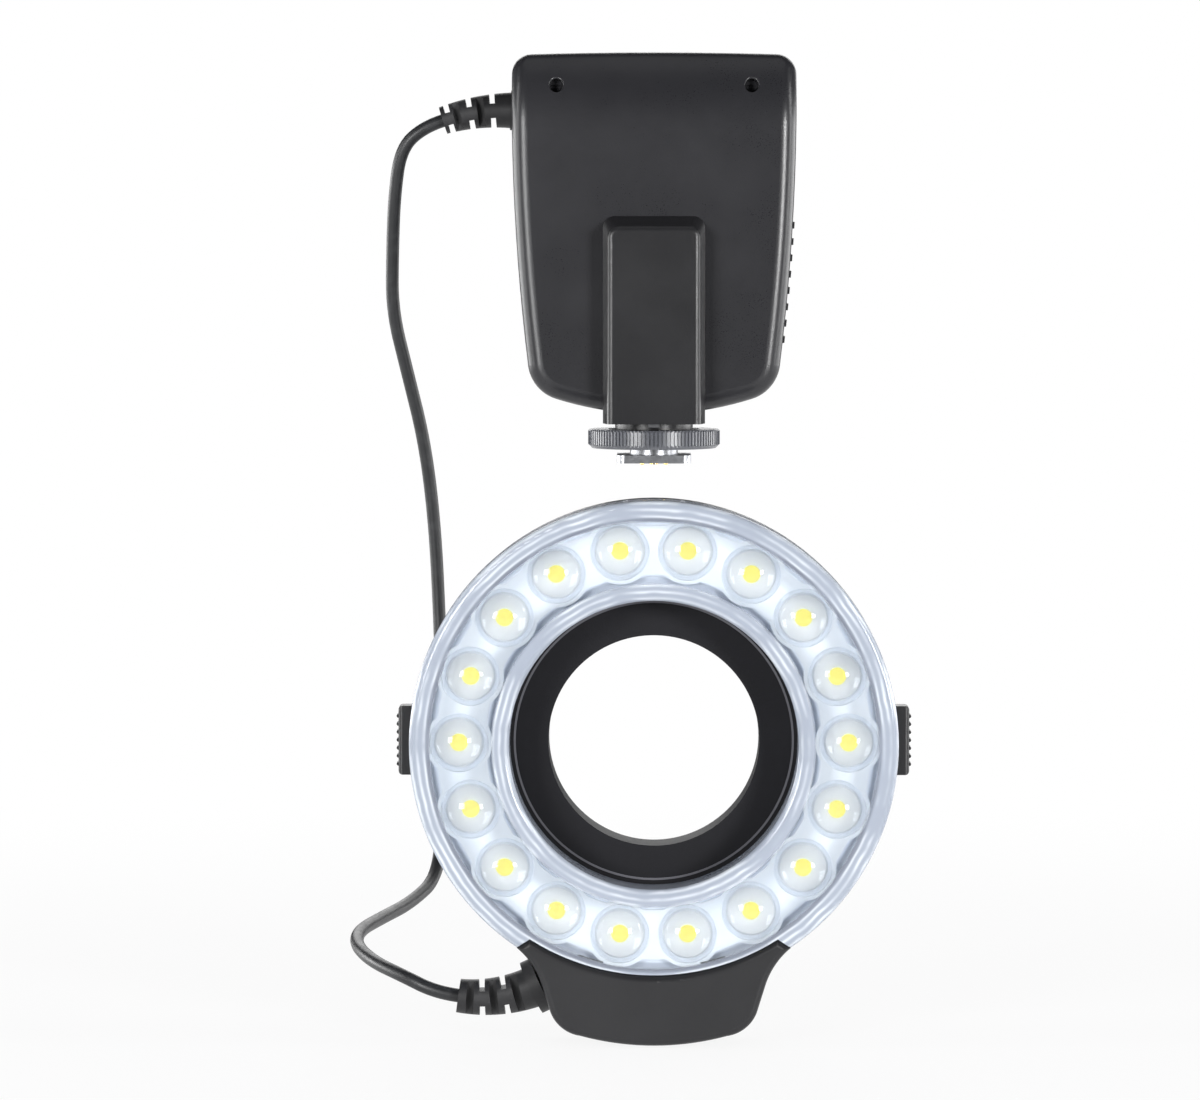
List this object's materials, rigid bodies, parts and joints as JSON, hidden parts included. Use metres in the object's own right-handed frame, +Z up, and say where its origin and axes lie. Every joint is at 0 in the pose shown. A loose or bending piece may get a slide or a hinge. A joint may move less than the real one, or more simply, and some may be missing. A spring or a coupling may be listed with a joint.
{
  "type": "macro ring flash",
  "caption": "Ring-shaped macro light with domed LEDs behind a clear cover, a twist adapter for a lens thread, and a corded controller with a locking shoe foot.",
  "frame": {"origin": "centre of the shoe foot's underside, on the line that a camera's shoe plate would have", "axes": "+Z up out of the shoe, -Y towards the subject (the way the ring shines), +X to the right as the front is seen; the ring's axis runs along Y, 62 mm below the foot"},
  "size_m": [0.1351, 0.1493, 0.2358],
  "materials": {
    "case_black": "satin",
    "fine_black": "fine matte",
    "wheel_black": "satin",
    "relief_black": "matte",
    "cord_black": "satin",
    "clear_cover": "polished clear plastic",
    "clear_lens": "polished clear plastic",
    "white_plastic": "white",
    "phosphor_yellow": "phosphor",
    "white_board": "white solder mask",
    "green_board": "green solder mask",
    "plated_steel": "zinc plated",
    "foot_steel": "satin steel",
    "spring_steel": "spring steel",
    "gold_contact": "gold plated",
    "core_black": "moulded",
    "cell_jacket": "plain wrap",
    "capacitor_sleeve": "sleeve",
    "display_glass": "display glass",
    "window_clear": "tinted clear plastic",
    "key_grey": "grey",
    "button_grey": "matte",
    "mat_grey": "matte",
    "pilot_green": "tinted"
  },
  "bodies": {
    "base": {"battery_cells": "cell_jacket", "battery_tray": "fine_black", "board_spacers": "plated_steel", "bracket_screws": "plated_steel", "button_mat": "mat_grey", "capacitors": "capacitor_sleeve", "case_screws": "plated_steel", "chin_cover": "case_black", "collar_key": "key_grey", "collar_screws": "plated_steel", "contact_core": "core_black", "control_board": "green_board", "controller_strain_relief": "relief_black", "display_module": "display_glass", "display_window": "window_clear", "driver_board": "green_board", "driver_choke": "core_black", "foot_bracket": "case_black", "front_shell": "case_black", "inner_contacts": "spring_steel", "latch_spring_left": "spring_steel", "latch_spring_right": "spring_steel", "led_board": "white_board", "led_emitters": "white_plastic", "led_lenses": "clear_lens", "led_phosphors": "phosphor_yellow", "link_cord": "cord_black", "pilot_lamp": "pilot_green", "rear_shell": "case_black", "reflector_tray": "white_plastic", "ring_back_cover": "case_black", "ring_front_cover": "clear_cover", "ring_housing": "case_black", "ring_screws": "plated_steel", "ring_strain_relief": "relief_black", "shoe_collar": "fine_black", "shoe_foot": "foot_steel"},
    "wheel_lift": {"clamp_plate": "wheel_black"},
    "lock_wheel": {"lock_wheel": "wheel_black"},
    "centre_pin": {"centre_contact_pin": "gold_contact"},
    "side_pins": {"side_contact_pins": "gold_contact"},
    "door_carrier": {"door_link": "plated_steel", "door_hinge_pin": "plated_steel"},
    "battery_door": {"battery_door": "case_black", "door_contacts": "spring_steel"},
    "release_right": {"latch_slide_right": "fine_black", "release_button_right": "fine_black"},
    "release_left": {"latch_slide_left": "fine_black", "release_button_left": "fine_black"},
    "adapter": {"adapter_ring": "fine_black"},
    "mode_button": {"mode_button": "button_grey"},
    "lamp_button": {"lamp_button": "button_grey"},
    "test_button": {"test_button": "button_grey"},
    "minus_button": {"minus_button": "button_grey"},
    "power_button": {"power_button": "button_grey"},
    "plus_button": {"plus_button": "button_grey"}
  },
  "joints": [
    {"name": "clamp_lift", "type": "slide", "parent": "base", "child": "wheel_lift", "axis": [0, 0, 1], "range_m": [0, 0.0012]},
    {"name": "wheel_turn", "type": "hinge", "parent": "wheel_lift", "child": "lock_wheel", "pos_m": [0, 0, 0.006], "axis": [0, 0, 1], "range_deg": [0, 286]},
    {"name": "centre_pin_travel", "type": "slide", "parent": "base", "child": "centre_pin", "axis": [0, 0, 1], "range_m": [0, 0.0006], "stiffness_N_per_m": 600, "springref_m": -0.0004},
    {"name": "side_pins_travel", "type": "slide", "parent": "base", "child": "side_pins", "axis": [0, 0, 1], "range_m": [0, 0.0006], "stiffness_N_per_m": 600, "springref_m": -0.0004},
    {"name": "door_slide", "type": "slide", "parent": "base", "child": "door_carrier", "axis": [0, 0, -1], "range_m": [0, 0.003]},
    {"name": "door_swing", "type": "hinge", "parent": "door_carrier", "child": "battery_door", "pos_m": [0.0289, 0.003, 0.0246], "axis": [0, 1, 0], "range_deg": [0, 95]},
    {"name": "release_right_press", "type": "slide", "parent": "base", "child": "release_right", "axis": [-1, 0, 0], "range_m": [0, 0.002], "stiffness_N_per_m": 900, "springref_m": -0.001, "deforming": ["latch_spring_right"]},
    {"name": "release_left_press", "type": "slide", "parent": "base", "child": "release_left", "axis": [1, 0, 0], "range_m": [0, 0.002], "stiffness_N_per_m": 900, "springref_m": -0.001, "deforming": ["latch_spring_left"]},
    {"name": "adapter_turn", "type": "hinge", "parent": "base", "child": "adapter", "pos_m": [0, -0.09, -0.062], "axis": [0, 1, 0], "continuous": true},
    {"name": "mode_button_press", "type": "slide", "parent": "base", "child": "mode_button", "axis": [0, -1, 0], "range_m": [0, 0.0006], "stiffness_N_per_m": 1800, "springref_m": -0.0004},
    {"name": "lamp_button_press", "type": "slide", "parent": "base", "child": "lamp_button", "axis": [0, -1, 0], "range_m": [0, 0.0006], "stiffness_N_per_m": 1800, "springref_m": -0.0004},
    {"name": "test_button_press", "type": "slide", "parent": "base", "child": "test_button", "axis": [0, -1, 0], "range_m": [0, 0.0006], "stiffness_N_per_m": 1800, "springref_m": -0.0004},
    {"name": "minus_button_press", "type": "slide", "parent": "base", "child": "minus_button", "axis": [0, -1, 0], "range_m": [0, 0.0006], "stiffness_N_per_m": 1800, "springref_m": -0.0004},
    {"name": "power_button_press", "type": "slide", "parent": "base", "child": "power_button", "axis": [0, -1, 0], "range_m": [0, 0.0006], "stiffness_N_per_m": 1800, "springref_m": -0.0004},
    {"name": "plus_button_press", "type": "slide", "parent": "base", "child": "plus_button", "axis": [0, -1, 0], "range_m": [0, 0.0006], "stiffness_N_per_m": 1800, "springref_m": -0.0004}
  ],
  "couplings": [
    {"joint": "clamp_lift", "follows": "wheel_turn", "m_per_rad": 0.00023873}
  ]
}
